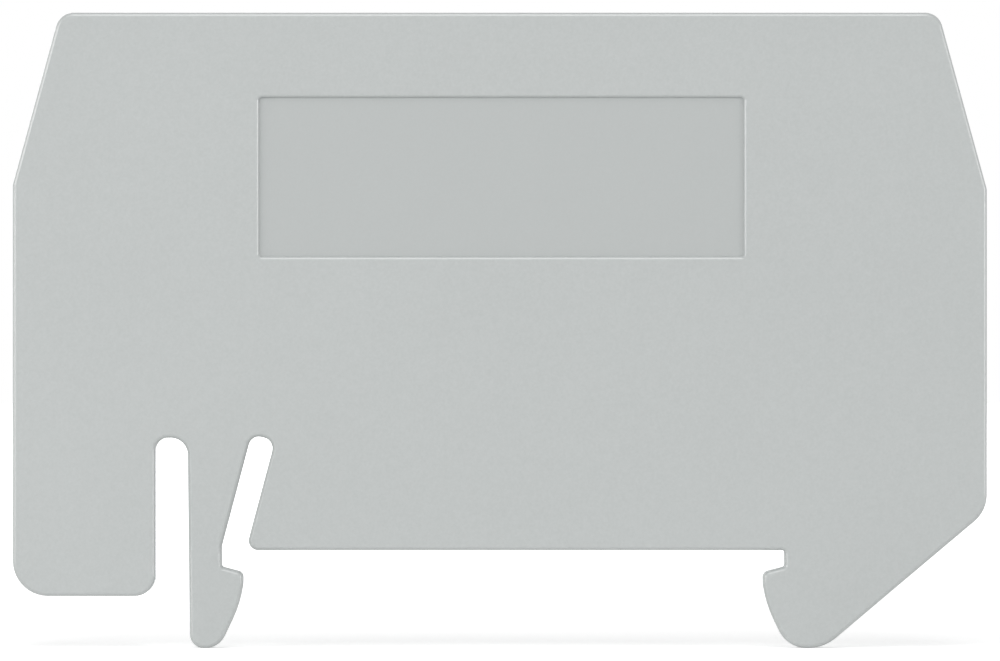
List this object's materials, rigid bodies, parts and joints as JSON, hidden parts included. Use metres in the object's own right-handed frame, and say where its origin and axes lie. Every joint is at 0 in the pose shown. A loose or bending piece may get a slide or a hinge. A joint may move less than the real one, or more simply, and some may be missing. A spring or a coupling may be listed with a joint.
{
  "type": "terminal block partition plate",
  "caption": "Flat partition plate that stands between terminal blocks on a top-hat rail, with a hooked fixed foot, a springy latch leg, sloping shoulders and a shallow recessed panel.",
  "frame": {"origin": "middle of the flat rail seat, midway between the two upright faces that hold the rail, half way through the plate's thickness", "axes": "+X across the rail from the latch leg to the fixed foot, +Y along the rail through the thickness from the recessed front to the plain back, +Z away from the rail towards the plate's top edge"},
  "size_m": [0.0608, 0.002, 0.0397],
  "materials": {
    "plastic": "fine matt as-moulded surface, light grey"
  },
  "bodies": {
    "root": {"partition_plate": "plastic"}
  },
  "joints": []
}
